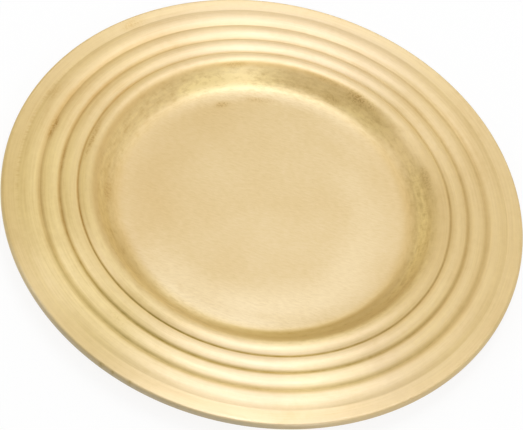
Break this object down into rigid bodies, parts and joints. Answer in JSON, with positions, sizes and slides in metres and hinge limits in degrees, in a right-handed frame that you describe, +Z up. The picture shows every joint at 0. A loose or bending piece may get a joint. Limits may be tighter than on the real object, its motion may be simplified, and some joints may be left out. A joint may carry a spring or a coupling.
{
  "type": "candle plate",
  "caption": "Round pressed metal candle plate with a flat ringed rim, a turned-down edge and a wide shallow well, standing on small felt pads.",
  "frame": {"origin": "centre of the plate on the table: the middle of the felt pads' lower faces", "axes": "+Z up along the plate's axis; +X and +Y lie level, with the felt pads on the diagonals between them"},
  "size_m": [0.33, 0.33, 0.0158],
  "materials": {
    "gold_sheet": "satin",
    "felt": "matte",
    "adhesive": "matte"
  },
  "bodies": {
    "root": {"plate": "gold_sheet", "felt_pad_1": "felt", "felt_pad_2": "felt", "felt_pad_3": "felt", "felt_pad_4": "felt", "adhesive_disc_1": "adhesive", "adhesive_disc_2": "adhesive", "adhesive_disc_3": "adhesive", "adhesive_disc_4": "adhesive"}
  },
  "joints": []
}
